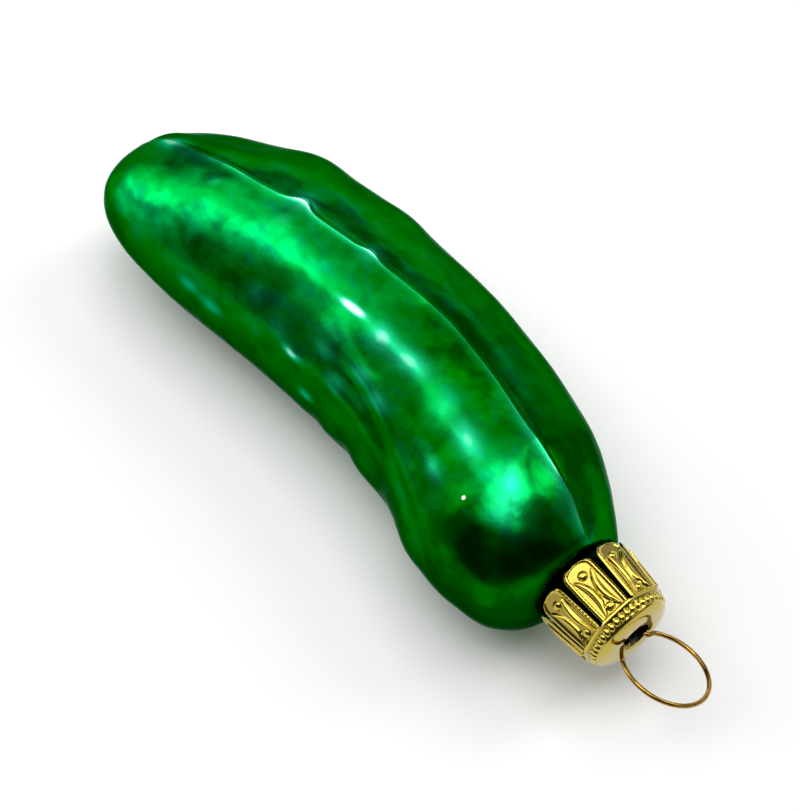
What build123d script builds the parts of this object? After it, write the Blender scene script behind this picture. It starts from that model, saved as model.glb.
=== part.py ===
from build123d import *

import os
from math import asin, cos, degrees, exp, hypot, pi, radians, sin, sqrt

# Blown glass pickle ornament lying on its side: a hollow glass body, a stamped crown cap and a wire hanger.
# Millimetres. While it is built, the X axis is the axis of the neck, x = 0 is the flat shoulder round the
# neck, +X points out of the neck, +Y to the convex side of the bend and +Z up. At the end everything is
# moved so that the origin lies under the middle of the whole ornament, on the surface that it lies on.

# Glass body
GLASS_LENGTH = 91.9         # far tip to the flat shoulder
BODY_HALF_WIDTH = 15.0
BODY_HALF_HEIGHT = 14.6
GLASS_WALL = 0.9
FAR_END_LENGTH = 32.5       # the stretch over which the far end rounds off
FAR_END_FULLNESS = 2.4      # exponent of that rounding: 2 is an ellipse, more is blunter
NECK_END_LENGTH = 14.2      # the stretch over which the body rounds in to the neck
NECK_END_FULLNESS = 1.7
BEND_CREST = 42.3           # from the shoulder back to where the spine stands furthest out
BEND_OFFSET = 3.9           # how far the spine stands out from the neck's axis there
FAR_BEND_RADIUS = 128.0
NECK_BEND_RADIUS = 111.5
SHOULDER_LAND = 1.2         # width of the flat shoulder round the neck
SEAM_ANGLE = 82.0           # degrees from +Y towards +Z to the upper crest of the mould seam
SEAM_HEIGHT = 0.5
SEAM_SPREAD = 6.0           # degrees over which the crest falls off on each side
FLAT_DEPTH = 0.3            # how far the underside is flattened where the body lies

# Neck
NECK_RADIUS = 5.5
NECK_LENGTH = 10.5
NECK_WALL = 0.9
NECK_RIM_ROUND = 0.3        # the rim is melted round

# Crown cap
SHEET = 0.25
RING_CLEARANCE = 0.25       # neck to the inside of the fluted ring
SHOULDER_CLEARANCE = 0.5    # petal tips to the glass shoulder
RIM_CLEARANCE = 0.15        # neck rim to the sloping edge of the top, along the axis
TOP_INSET = 0.4             # how much smaller the flat top is than the neck
EDGE_DEPTH = 0.7            # of the sloping edge between the flat top and the ring
RING_DEPTH = 1.2
STEP_DEPTH = 0.4            # of the slope from the ring out to the petals
PETAL_STEP = 0.4            # how far the petals stand out from the ring at their foot
PETAL_FLARE = 0.8           # how much further they stand out at their tips
HOLE_RADIUS = 2.4
HOLE_ROUND = 0.1
PETAL_COUNT = 8
PETAL_ANGLE = 106.0         # degrees from +Y towards +Z to the middle of the first petal
PETAL_ROUND = 1.5           # length of a petal's rounded tip
PETAL_TIP_FLAT = 0.3
SLOT_WIDTH = 0.7
SLOT_END = 0.1              # closed end of a slot to the petals' foot

# Wire hanger
WIRE_RADIUS = 0.33
LOOP_RADIUS = 6.3           # of the wire's centre line
CORNER_RADIUS = 1.0         # of the tighter turn at each foot of the loop
FOOT_RUN = 0.5              # straight wire on the cap's top, from the hole to that turn
HOLE_CLEARANCE = 0.15       # wire to the rim of the cap's hole
LEG_LENGTH = 15.0
LEG_CLEARANCE = 0.3         # leg ends to the bore of the neck
HANGER_ROLL = -29.0         # degrees that the loop is turned about the neck's axis

# How finely the glass is drawn
STATIONS = 18
SEAM_STEPS = (0, 4, 9, 16, 30, 50, 70, 90, 110, 130, 150, 164, 171, 176, 180)
BOX_TOLERANCE = 0.02        # how closely the overall box follows the curved faces

# Derived sizes
SHOULDER_RADIUS = NECK_RADIUS + SHOULDER_LAND
BORE_RADIUS = NECK_RADIUS - NECK_WALL
RING_RADIUS = NECK_RADIUS + RING_CLEARANCE + SHEET
FOOT_RADIUS = RING_RADIUS + PETAL_STEP
TIP_RADIUS = FOOT_RADIUS + PETAL_FLARE
TOP_RADIUS = NECK_RADIUS - TOP_INSET
EDGE_SLOPE = EDGE_DEPTH / (RING_RADIUS - TOP_RADIUS)
CAP_TOP = NECK_LENGTH + RIM_CLEARANCE + TOP_INSET * EDGE_SLOPE + SHEET * hypot(1, EDGE_SLOPE)
RING_TOP = CAP_TOP - EDGE_DEPTH
PETAL_FOOT = RING_TOP - RING_DEPTH - STEP_DEPTH


def rounding(distance, length, fullness):
    """Share of the full size that is left at a distance into a rounded end, from 1 down to 0."""
    share = min(max(distance / length, 0.0), 1.0)
    return (1.0 - share**fullness) ** (1.0 / fullness)


def section_size(x, inset):
    """Middle, half width and half height of the body's section at x, drawn in by inset."""
    into_far_end = FAR_END_LENGTH - GLASS_LENGTH - x
    into_neck_end = NECK_END_LENGTH + x
    far = rounding(into_far_end, FAR_END_LENGTH - inset, FAR_END_FULLNESS)
    near = rounding(into_neck_end, NECK_END_LENGTH - inset, NECK_END_FULLNESS)
    from_crest = x + BEND_CREST
    bend = FAR_BEND_RADIUS if from_crest < 0 else NECK_BEND_RADIUS
    spine = BEND_OFFSET - bend + sqrt(bend**2 - from_crest**2)
    land = SHOULDER_RADIUS - inset
    half_width = (land + (BODY_HALF_WIDTH - SHOULDER_RADIUS) * near) * far
    half_height = (land + (BODY_HALF_HEIGHT - SHOULDER_RADIUS) * near) * far
    return spine * near, half_width, half_height


def body_section(x, inset, seam_height):
    """Closed section at x: two curves that meet at the crests of the mould seam."""
    middle, half_width, half_height = section_size(x, inset)
    crest = seam_height * half_width / BODY_HALF_WIDTH

    def outline_point(step, turn):
        angle = radians(SEAM_ANGLE + turn + step)
        rise = crest * exp(-min(step, 180 - step) / SEAM_SPREAD)
        y = middle + (half_width + rise) * cos(angle)
        z = (half_height + rise) * sin(angle)
        return (x, y, z)

    halves = [Spline(*(outline_point(step, turn) for step in SEAM_STEPS)) for turn in (0, 180)]
    return Face(Wire(halves))


def body_loft(inset, seam_height):
    """Solid pickle, drawn in by inset, from its far tip to the shoulder."""
    far_tip = inset - GLASS_LENGTH
    length = GLASS_LENGTH - 2 * inset
    stations = [far_tip + length * (1 - cos(pi * i / STATIONS)) / 2 for i in range(1, STATIONS + 1)]
    tip = Vertex(far_tip, section_size(far_tip, inset)[0], 0)
    return loft([tip] + [body_section(x, inset, seam_height) for x in stations])


def along_neck(radius, start, end):
    """Cylinder on the neck's axis from start to end."""
    return Pos((start + end) / 2, 0, 0) * Rot(0, 90, 0) * Cylinder(radius, end - start)


def circles_of(shape, radius):
    """Circular edges of a shape that have the given radius."""
    circles = shape.edges().filter_by(GeomType.CIRCLE)
    return circles.filter_by(lambda edge: abs(edge.radius - radius) < 1e-6)


def make_glass_body():
    """Hollow blown shell with its open neck, flat underneath where it lies."""
    overlap = GLASS_WALL / 2
    shell = body_loft(0, SEAM_HEIGHT) + along_neck(NECK_RADIUS, -overlap, NECK_LENGTH)
    rim = [edge for edge in circles_of(shell, NECK_RADIUS) if abs(edge.center().X - NECK_LENGTH) < 1e-6]
    shell = fillet(rim, NECK_RIM_ROUND)
    shell -= body_loft(GLASS_WALL, 0)
    shell -= along_neck(BORE_RADIUS, -GLASS_WALL - overlap, NECK_LENGTH + overlap)
    flat = FLAT_DEPTH - BODY_HALF_HEIGHT
    below = Pos(-GLASS_LENGTH / 2, 0, flat - BODY_HALF_HEIGHT / 2)
    return shell - below * Box(2 * GLASS_LENGTH, 4 * BODY_HALF_WIDTH, BODY_HALF_HEIGHT)


def drawn_in(points, distance):
    """Points moved sideways by distance to the right of their path, with mitred corners."""
    normals = []
    for (x1, r1), (x2, r2) in zip(points, points[1:]):
        run = hypot(x2 - x1, r2 - r1)
        normals.append(((r2 - r1) / run, (x1 - x2) / run))
    pairs = zip([normals[0]] + normals, normals + [normals[-1]])
    moved = []
    for (x, r), (before, after) in zip(points, pairs):
        reach = distance / (1 + before[0] * after[0] + before[1] * after[1])
        moved.append((x + reach * (before[0] + after[0]), r + reach * (before[1] + after[1])))
    return moved


def petal_slot():
    """Cutter for the slot between two petals, with their rounded tips, pointing up from the axis."""
    half_slot = SLOT_WIDTH / 2
    half_pitch = (TIP_RADIUS - SHEET) * sin(pi / PETAL_COUNT) - PETAL_TIP_FLAT / 2
    tip = SHOULDER_CLEARANCE
    round_end = tip + PETAL_ROUND
    slot_end = PETAL_FOOT - SLOT_END - half_slot
    below = tip - PETAL_ROUND
    tip_width = half_pitch - half_slot
    outline = [
        Line((below, -half_pitch), (below, half_pitch)),
        Line((below, half_pitch), (tip, half_pitch)),
        EllipticalCenterArc((round_end, half_pitch), PETAL_ROUND, tip_width, 180, arc_size=90),
        Line((round_end, half_slot), (slot_end, half_slot)),
        ThreePointArc((slot_end, half_slot), (slot_end + half_slot, 0), (slot_end, -half_slot)),
        Line((slot_end, -half_slot), (round_end, -half_slot)),
        EllipticalCenterArc((round_end, -half_pitch), PETAL_ROUND, tip_width, 90, arc_size=90),
        Line((tip, -half_pitch), (below, -half_pitch)),
    ]
    return extrude(Face(Wire(outline)), 2 * TIP_RADIUS, dir=(0, 0, 1))


def make_crown_cap():
    """Stamped cap: flat top with a round hole, a ring below its edge and a skirt of petals."""
    outside = [
        (SHOULDER_CLEARANCE, TIP_RADIUS),
        (PETAL_FOOT, FOOT_RADIUS),
        (PETAL_FOOT + STEP_DEPTH, RING_RADIUS),
        (RING_TOP, RING_RADIUS),
        (CAP_TOP, TOP_RADIUS),
        (CAP_TOP, HOLE_RADIUS),
    ]
    inside = drawn_in(outside, SHEET)
    profile = Face(Wire.make_polygon([*outside, *reversed(inside)], close=True))
    cap = revolve(profile, Axis.X)
    slot = petal_slot()
    for i in range(PETAL_COUNT):
        turn = PETAL_ANGLE + (i + 0.5) * 360 / PETAL_COUNT
        cap -= Rot(turn - 90, 0, 0) * slot
    return fillet(circles_of(cap, HOLE_RADIUS), HOLE_ROUND)


def hanger_path():
    """Centre line of the hanger: a leg, a bend over the hole's rim, a foot, the loop, and the same back again."""
    bend = SHEET / 2 + HOLE_CLEARANCE + WIRE_RADIUS
    rim = (CAP_TOP - SHEET / 2, HOLE_RADIUS + SHEET / 2)
    leg_end = BORE_RADIUS - LEG_CLEARANCE - WIRE_RADIUS
    splay = asin((leg_end - rim[1] + bend) / LEG_LENGTH)
    bend_middle = (pi / 2 + splay) / 2
    foot_x = rim[0] + bend
    corner = (foot_x + CORNER_RADIUS, rim[1] + FOOT_RUN)
    reach = LOOP_RADIUS - CORNER_RADIUS
    lean = asin(corner[1] / reach)
    loop_x = corner[0] + reach * cos(lean)

    def around(centre, radius, angle, side):
        return (centre[0] - radius * cos(angle), side * (centre[1] + radius * sin(angle)))

    def half(side):
        start = around(rim, bend, -pi / 2 + splay, side)
        leg_tip = (start[0] - LEG_LENGTH * cos(splay), start[1] + side * LEG_LENGTH * sin(splay))
        over_rim = around(rim, bend, -pi / 2 - bend_middle + splay, side)
        foot_start = (foot_x, side * rim[1])
        foot_end = around(corner, CORNER_RADIUS, 0, side)
        turned = around(corner, CORNER_RADIUS, lean / 2, side)
        loop_start = around(corner, CORNER_RADIUS, lean, side)
        flank = around((loop_x, 0), LOOP_RADIUS, (lean + pi) / 2, side)
        return [
            Line(leg_tip, start),
            ThreePointArc(start, over_rim, foot_start),
            Line(foot_start, foot_end),
            ThreePointArc(foot_end, turned, loop_start),
            ThreePointArc(loop_start, flank, (loop_x + LOOP_RADIUS, 0)),
        ]

    print(f"loop centre x {loop_x:.3f}, leg splay {degrees(splay):.2f} deg, bend radius {bend:.3f}")
    return Wire(half(1) + half(-1))


def make_wire_hanger():
    """Spring wire swept along the hanger's path and turned about the neck's axis."""
    path = hanger_path()
    section = Plane(origin=path @ 0, z_dir=path % 0) * Circle(WIRE_RADIUS)
    hanger = sweep(section, path=path)
    print(f"wire length {path.length:.2f}, volume {hanger.volume:.3f}, ",
          f"section times length {pi * WIRE_RADIUS**2 * path.length:.3f}")
    return Rot(HANGER_ROLL, 0, 0) * hanger


pieces = {
    "glass_body": make_glass_body(),
    "crown_cap": make_crown_cap(),
    "wire_hanger": make_wire_hanger(),
}

# The whole ornament is moved so that the origin is under the middle of its box
surface = [point for piece in pieces.values() for point in piece.tessellate(BOX_TOLERANCE)[0]]
across = [[point.X for point in surface], [point.Y for point in surface], [point.Z for point in surface]]
low = [min(values) for values in across]
high = [max(values) for values in across]
shift = Pos(-(low[0] + high[0]) / 2, -(low[1] + high[1]) / 2, -low[2])
print("shift", shift.position, "box", [round(high[i] - low[i], 3) for i in range(3)])

os.makedirs("parts", exist_ok=True)
for name, piece in pieces.items():
    placed = shift * piece
    print(f"{name}: {len(placed.solids())} solid, {placed.volume:.2f} mm3, centre {placed.center()}")
    export_step(placed, f"parts/{name}.step")
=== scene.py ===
"""Dressed scene of a blown-glass pickle ornament that lies on a pale table."""

import logging
import math
from dataclasses import dataclass, field
from enum import Enum

import bmesh
import bpy
import numpy as np
from mathutils import Matrix, Vector

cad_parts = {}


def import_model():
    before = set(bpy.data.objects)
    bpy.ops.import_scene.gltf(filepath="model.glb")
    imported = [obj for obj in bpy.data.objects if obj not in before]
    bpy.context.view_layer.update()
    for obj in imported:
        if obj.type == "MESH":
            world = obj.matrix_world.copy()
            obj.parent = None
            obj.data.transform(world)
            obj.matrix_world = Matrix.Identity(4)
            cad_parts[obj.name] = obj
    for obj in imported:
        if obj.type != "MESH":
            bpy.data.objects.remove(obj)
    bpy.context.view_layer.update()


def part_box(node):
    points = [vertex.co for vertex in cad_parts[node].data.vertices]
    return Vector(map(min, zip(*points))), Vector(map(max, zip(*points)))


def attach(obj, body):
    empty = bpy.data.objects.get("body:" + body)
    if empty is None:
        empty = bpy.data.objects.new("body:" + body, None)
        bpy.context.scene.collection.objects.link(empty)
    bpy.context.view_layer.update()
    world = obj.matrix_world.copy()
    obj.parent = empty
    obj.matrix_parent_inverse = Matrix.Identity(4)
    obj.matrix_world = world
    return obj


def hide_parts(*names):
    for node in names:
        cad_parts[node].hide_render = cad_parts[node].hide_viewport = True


LOG = logging.getLogger("pickle_ornament")
MM = 0.001
SAME_POINT = 1e-7  # metres within which two points are one
HAIR = 1e-6  # millimetres that keep a width above zero
LATTICE = 32  # random numbers along each side of a lattice
BEND_REACH, BEND_SAMPLES = 3.0, 13  # millimetres each way, and samples, that smooth the bends of a course
RANGE = ("Value", "From Min", "From Max", "To Min", "To Max")  # inputs of a Map Range node
SHARE, UNDER, OVER, MIXED = 0, 6, 7, 2  # inputs and output of a Mix node that mixes colours

Span = tuple[float, float]
Knots = tuple[Span, ...]
Place = tuple[float, float, float]


class Body(Enum):
    """The moving bodies of the ornament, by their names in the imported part."""

    GLASS = "glass_body"
    CAP = "crown_cap"
    HANGER = "wire_hanger"


class Slot(Enum):
    """The material slots of the record, by name; the pieces here make their own materials instead."""

    GLASS = "lacquered_glass"
    CAP = "gold_cap"
    HANGER = "hanger_wire"


# Shared helpers


def linear(colour: str) -> tuple[float, float, float, float]:
    """Turn an sRGB hex colour into the linear colour that Blender's sockets take.

    Args:
        colour: Six hex digits after a hash sign.

    Returns:
        Linear red, green and blue, and an alpha of 1.
    """
    shares = [int(colour[i : i + 2], 16) / 255 for i in (1, 3, 5)]
    red, green, blue = (s / 12.92 if s <= 0.04045 else ((s + 0.055) / 1.055) ** 2.4 for s in shares)
    return red, green, blue, 1.0


def add_node(
    tree: bpy.types.NodeTree, kind: str, inputs: dict[str | int, object] | None = None, **settings: object
) -> bpy.types.Node:
    """Add a node with its settings and inputs.

    Args:
        tree: The node tree that gets the node.
        kind: Blender's name of the node's type.
        inputs: Values for the node's inputs, by name or number; an output socket is linked instead.
        **settings: Properties of the node itself.

    Returns:
        The new node.
    """
    node = tree.nodes.new(kind)
    for name, value in settings.items():
        setattr(node, name, value)
    for name, value in (inputs or {}).items():
        if isinstance(value, bpy.types.NodeSocket):
            tree.links.new(value, node.inputs[name])
        else:
            node.inputs[name].default_value = value
    return node


def new_material(name: str) -> tuple[bpy.types.Material, bpy.types.NodeTree]:
    """Make an empty node material.

    Args:
        name: The material's name.

    Returns:
        The material and its node tree.
    """
    material = bpy.data.materials.new(name)
    material.use_nodes = True
    material.node_tree.nodes.clear()
    return material, material.node_tree


def grid_object(name: str, points: np.ndarray, closed: bool) -> bpy.types.Object:
    """Make a mesh object from rows of points.

    Args:
        name: The object's name.
        points: Rows by columns by three coordinates, in metres.
        closed: Whether the last column joins the first.

    Returns:
        The new object, linked to the scene.
    """
    rows, columns = points.shape[:2]
    numbers = np.arange(rows * columns).reshape(rows, columns)
    if closed:
        numbers = np.concatenate([numbers, numbers[:, :1]], axis=1)
    corners = (numbers[:-1, :-1], numbers[:-1, 1:], numbers[1:, 1:], numbers[1:, :-1])
    faces = np.stack(corners, axis=-1).reshape(-1, 4)
    mesh = bpy.data.meshes.new(name)
    mesh.from_pydata(points.reshape(-1, 3).tolist(), [], faces.tolist())
    made = bpy.data.objects.new(name, mesh)
    bpy.context.scene.collection.objects.link(made)
    return made


def store(piece: bpy.types.Object, name: str, values: np.ndarray) -> None:
    """Keep one number per point on a mesh, for its material.

    Args:
        piece: The mesh object.
        name: The attribute's name.
        values: One number for each point.
    """
    attribute = piece.data.attributes.new(name, "FLOAT", "POINT")
    attribute.data.foreach_set("value", values.astype(np.float32).ravel())


def weld(piece: bpy.types.Object, distance: float = SAME_POINT) -> None:
    """Join points that lie together and shade the mesh smooth.

    Args:
        piece: The mesh object to clean.
        distance: How near two points are joined, in metres.
    """
    shape = bmesh.new()
    shape.from_mesh(piece.data)
    bmesh.ops.remove_doubles(shape, verts=shape.verts, dist=distance)
    bmesh.ops.recalc_face_normals(shape, faces=shape.faces)
    shape.to_mesh(piece.data)
    shape.free()
    piece.data.shade_smooth()


def stand_for(piece: bpy.types.Object, body: Body) -> None:
    """Let a piece ride on a body and stand for its solid.

    Args:
        piece: The dressed piece.
        body: The body that carries it, whose solid has the same name.
    """
    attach(piece, body.value)
    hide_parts(body.value)


def ease(share: np.ndarray) -> np.ndarray:
    """Share from 0 to 1 that starts and ends gently."""
    return share * share * (3 - 2 * share)


def bell(offset: np.ndarray, width: float) -> np.ndarray:
    """Bell-shaped share, 1 in the middle, that falls off over a width."""
    return np.exp(-((offset / width) ** 2))


def ramp(value: np.ndarray, start: float, end: float) -> np.ndarray:
    """Share that goes from 0 at the start to 1 at the end, and stays there."""
    return np.clip((value - start) / (end - start), 0, 1)


def turned(angle: np.ndarray, middle: np.ndarray | float) -> np.ndarray:
    """Turn from a middle angle, from -180 to 180 degrees."""
    return (angle - middle + 180) % 360 - 180


def course_at(x: np.ndarray, knots: Knots) -> np.ndarray:
    """Follow a course of knots, with its bends smoothed.

    Args:
        x: Places along the neck's axis.
        knots: Places with their values.

    Returns:
        The value at each place.
    """
    places, values = zip(*knots)
    steps = np.linspace(-BEND_REACH, BEND_REACH, BEND_SAMPLES)
    return np.mean([np.interp(x + step, places, values) for step in steps], axis=0)


def lumps(points: np.ndarray, size: float, seed: int) -> np.ndarray:
    """Smooth random swellings from a lattice of random numbers.

    Args:
        points: Points in any shape that ends in three coordinates.
        size: Distance between swellings, in the points' unit.
        seed: Number that fixes the random lattice.

    Returns:
        A value from about -1 to 1 for each point.
    """
    lattice = np.random.default_rng(seed).uniform(-1, 1, (LATTICE, LATTICE, LATTICE))
    place = points / size
    low = np.floor(place).astype(int)
    share = ease(place - low)
    total = np.zeros(points.shape[:-1])
    for corner in np.ndindex(2, 2, 2):
        index = (low + corner) % LATTICE
        weight = np.prod(np.where(corner, share, 1 - share), axis=-1)
        total += weight * lattice[index[..., 0], index[..., 1], index[..., 2]]
    return total


# Finishes


@dataclass(frozen=True)
class SatinLacquer:
    """Blown glass, silvered inside, under a satin translucent green lacquer.

    The silver behind the colour gives a metal's deep, saturated reflections, and the satin lacquer
    blurs them.
    """

    # Greens from thick lacquer to thin; the brighter ones also paint the highlights
    depths: tuple[tuple[float, str], ...] = (
        (0.0, "#004800"),
        (0.15, "#006800"),
        (0.4, "#007f20"),
        (0.7, "#00a23e"),
        (1.0, "#00d264"),
    )
    teal: str = "#008a5c"
    # Darker green seen at a slant, partly the lacquer's depth and partly painted shade
    slant: str = "#004a04"
    # Teal of lightly rubbed spots and of painted glints
    rubbed: str = "#20c890"
    # Pale silver-white of rubbed crests and of painted white glints
    crest: str = "#b8f0dc"
    edge: str = "#68ac88"
    # Dark neck under the cap: thick lacquer and painted shade
    neck: str = "#0a2a0c"
    inside: str = "#6c726c"
    speck: str = "#f2f4ee"
    roughness: Span = (0.2, 0.34)
    mottle_mm: float = 4.5
    mottle_noise: Span = (0.3, 0.7)
    mottle_change: float = 0.16
    fleck_mm: float = 2.6
    fleck_run: float = 0.5
    fleck_noise: Span = (0.53, 0.69)
    fleck_share: float = 0.58
    fleck_ground: Span = (0.1, 0.5)
    slant_facing: Span = (0.1, 0.9)
    slant_share: float = 0.68
    rubbed_wear: Span = (0.0, 0.6)
    crest_wear: Span = (0.4, 1.0)
    neck_mark: float = 0.5
    peel_mm: float = 1.3
    peel_depth_mm: float = 0.02
    speck_mm: float = 0.35
    speck_core_mm: float = 0.21

    def material(self, speck_at: Vector) -> bpy.types.Material:
        """Make the material.

        Args:
            speck_at: Place of the chip in the lacquer, in metres.

        Returns:
            The node material.
        """
        material, tree = new_material("satin green lacquer over silvered blown glass")
        place = add_node(tree, "ShaderNodeTexCoord").outputs["Object"]
        drained, worn, inward = (
            add_node(tree, "ShaderNodeAttribute", attribute_name=name).outputs["Fac"]
            for name in ("thin", "worn", "inside")
        )
        mottle = add_node(
            tree, "ShaderNodeTexNoise", {"Vector": place, "Scale": 1 / (self.mottle_mm * MM), "Detail": 3.0}
        ).outputs[0]
        # The lacquer's thickness with painted highlights and painted shade: a higher share paints a
        # brighter green.
        clouds = (mottle, *self.mottle_noise, -self.mottle_change, self.mottle_change)
        cloud = add_node(tree, "ShaderNodeMapRange", dict(zip(RANGE, clouds)))
        thinness = add_node(tree, "ShaderNodeMath", {0: drained, 1: cloud.outputs[0]}, operation="ADD")
        green = add_node(tree, "ShaderNodeValToRGB", {"Fac": thinness.outputs[0]})
        stops = green.color_ramp.elements
        for _ in self.depths[2:]:
            stops.new(0.5)
        for stop, (at, colour) in zip(stops, self.depths):
            stop.position, stop.color = at, linear(colour)
        # Teal flecks are drawn out along the body, and only show where the share of thin lacquer and
        # painted highlight is high.
        run = add_node(tree, "ShaderNodeMapping", {"Vector": place, "Scale": (self.fleck_run, 1.0, 1.0)})
        fleck = add_node(
            tree,
            "ShaderNodeTexNoise",
            {"Vector": run.outputs[0], "Scale": 1 / (self.fleck_mm * MM), "Detail": 2.0},
        )
        flecks = (fleck.outputs[0], *self.fleck_noise, 0.0, self.fleck_share)
        fleck_share = add_node(tree, "ShaderNodeMapRange", dict(zip(RANGE, flecks)))
        clear = add_node(tree, "ShaderNodeMapRange", dict(zip(RANGE, (drained, *self.fleck_ground))))
        flecked = add_node(
            tree, "ShaderNodeMath", {0: fleck_share.outputs[0], 1: clear.outputs[0]}, operation="MULTIPLY"
        )
        # Seen at a slant, light passes through more of the lacquer and comes out darker; this also paints
        # shade on the flanks.
        facing = add_node(tree, "ShaderNodeLayerWeight").outputs["Facing"]
        slants = (facing, *self.slant_facing, 0.0, self.slant_share)
        slanted = add_node(tree, "ShaderNodeMapRange", dict(zip(RANGE, slants)))
        # Rubbed high spots and painted glints go first to a light teal, then to the pale silver-white.
        thinned = add_node(tree, "ShaderNodeMapRange", dict(zip(RANGE, (worn, *self.rubbed_wear))))
        bared = add_node(tree, "ShaderNodeMapRange", dict(zip(RANGE, (worn, *self.crest_wear))))
        # The neck is dark with thick lacquer and painted shade under the cap, and its bore shows the dull
        # silvering.
        on_neck = add_node(tree, "ShaderNodeMapRange", dict(zip(RANGE, (inward, 0.0, self.neck_mark))))
        in_bore = add_node(tree, "ShaderNodeMapRange", dict(zip(RANGE, (inward, self.neck_mark, 1.0))))
        # One chip shows the bare glass.
        away = add_node(tree, "ShaderNodeVectorMath", {0: place, 1: tuple(speck_at)}, operation="DISTANCE")
        chip_edge = (away.outputs["Value"], self.speck_mm * MM, self.speck_core_mm * MM)
        chip = add_node(tree, "ShaderNodeMapRange", dict(zip(RANGE, chip_edge)))
        layers = (
            (flecked, self.teal),
            (slanted, self.slant),
            (thinned, self.rubbed),
            (bared, self.crest),
            (on_neck, self.neck),
            (in_bore, self.inside),
            (chip, self.speck),
        )
        shown = green.outputs[0]
        for share, colour in layers:
            inputs = {SHARE: share.outputs[0], UNDER: shown, OVER: linear(colour)}
            shown = add_node(tree, "ShaderNodeMix", inputs, data_type="RGBA").outputs[MIXED]
        satin = add_node(tree, "ShaderNodeMapRange", dict(zip(RANGE, (mottle, 0.0, 1.0, *self.roughness))))
        peel = add_node(
            tree, "ShaderNodeTexNoise", {"Vector": place, "Scale": 1 / (self.peel_mm * MM), "Detail": 1.0}
        )
        relief = add_node(
            tree, "ShaderNodeBump", {"Height": peel.outputs[0], "Distance": self.peel_depth_mm * MM}
        )
        shader = add_node(
            tree,
            "ShaderNodeBsdfPrincipled",
            {
                "Base Color": shown,
                "Specular Tint": linear(self.edge),
                "Metallic": 1.0,
                "Roughness": satin.outputs[0],
                "Normal": relief.outputs[0],
            },
        )
        add_node(tree, "ShaderNodeOutputMaterial", {"Surface": shader.outputs[0]})
        return material


@dataclass(frozen=True)
class StampedBrass:
    """Thin brass sheet, stamped and bright-dipped to a pale gold, under a clear lacquer.

    The stamping leaves high lines in full gold, and painted shade darkens the hollows and plain sheet.
    The grain of rolled sheet is too fine to show here, so it is drawn at half a millimetre.
    """

    high: str = "#c6b03a"
    # Colour of the painted shade in the hollows
    hollow: str = "#5a4604"
    roughness: Span = (0.09, 0.18)
    coat_weight: float = 0.6
    coat_roughness: float = 0.06
    coat_ior: float = 1.5
    grain_mm: float = 0.5
    grain_depth_mm: float = 0.004

    def material(self) -> bpy.types.Material:
        """Make the material; the mesh's relief attribute says where painted shade darkens the hollows.

        Returns:
            The node material.
        """
        material, tree = new_material("stamped bright brass sheet")
        place = add_node(tree, "ShaderNodeTexCoord").outputs["Object"]
        relief = add_node(tree, "ShaderNodeAttribute", attribute_name="relief")
        # Painted shade: the hollows take the dark colour, the raised lines the full gold
        gold = add_node(
            tree,
            "ShaderNodeMix",
            {SHARE: relief.outputs["Fac"], UNDER: linear(self.hollow), OVER: linear(self.high)},
            data_type="RGBA",
        )
        grain = add_node(
            tree, "ShaderNodeTexNoise", {"Vector": place, "Scale": 1 / (self.grain_mm * MM), "Detail": 2.0}
        ).outputs[0]
        polish = add_node(tree, "ShaderNodeMapRange", dict(zip(RANGE, (grain, 0.0, 1.0, *self.roughness))))
        ripple = add_node(tree, "ShaderNodeBump", {"Height": grain, "Distance": self.grain_depth_mm * MM})
        shader = add_node(
            tree,
            "ShaderNodeBsdfPrincipled",
            {
                "Base Color": gold.outputs[MIXED],
                "Metallic": 1.0,
                "Roughness": polish.outputs[0],
                "Coat Weight": self.coat_weight,
                "Coat Roughness": self.coat_roughness,
                "Coat IOR": self.coat_ior,
                "Normal": ripple.outputs[0],
            },
        )
        add_node(tree, "ShaderNodeOutputMaterial", {"Surface": shader.outputs[0]})
        return material


@dataclass(frozen=True)
class DrawnWire:
    """Hard-drawn copper-rich brass spring wire.

    Drawing leaves it smooth, with faint streaks and a warm, slightly uneven tarnish. The lines of the
    die are too fine to show here, so the streaks are drawn about a millimetre apart.
    """

    bright: str = "#bc9844"
    tarnish: str = "#6c4a10"
    roughness: Span = (0.05, 0.12)
    streak_mm: float = 1.2

    def material(self) -> bpy.types.Material:
        """Make the material; the tarnished streaks are the duller ones.

        Returns:
            The node material.
        """
        material, tree = new_material("hard-drawn brass spring wire")
        place = add_node(tree, "ShaderNodeTexCoord").outputs["Object"]
        streak = add_node(
            tree, "ShaderNodeTexNoise", {"Vector": place, "Scale": 1 / (self.streak_mm * MM), "Detail": 3.0}
        ).outputs[0]
        brass = add_node(
            tree,
            "ShaderNodeMix",
            {SHARE: streak, UNDER: linear(self.tarnish), OVER: linear(self.bright)},
            data_type="RGBA",
        )
        dulling = (streak, 0.0, 1.0, *reversed(self.roughness))
        polish = add_node(tree, "ShaderNodeMapRange", dict(zip(RANGE, dulling)))
        shader = add_node(
            tree,
            "ShaderNodeBsdfPrincipled",
            {"Base Color": brass.outputs[MIXED], "Metallic": 1.0, "Roughness": polish.outputs[0]},
        )
        add_node(tree, "ShaderNodeOutputMaterial", {"Surface": shader.outputs[0]})
        return material


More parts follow.
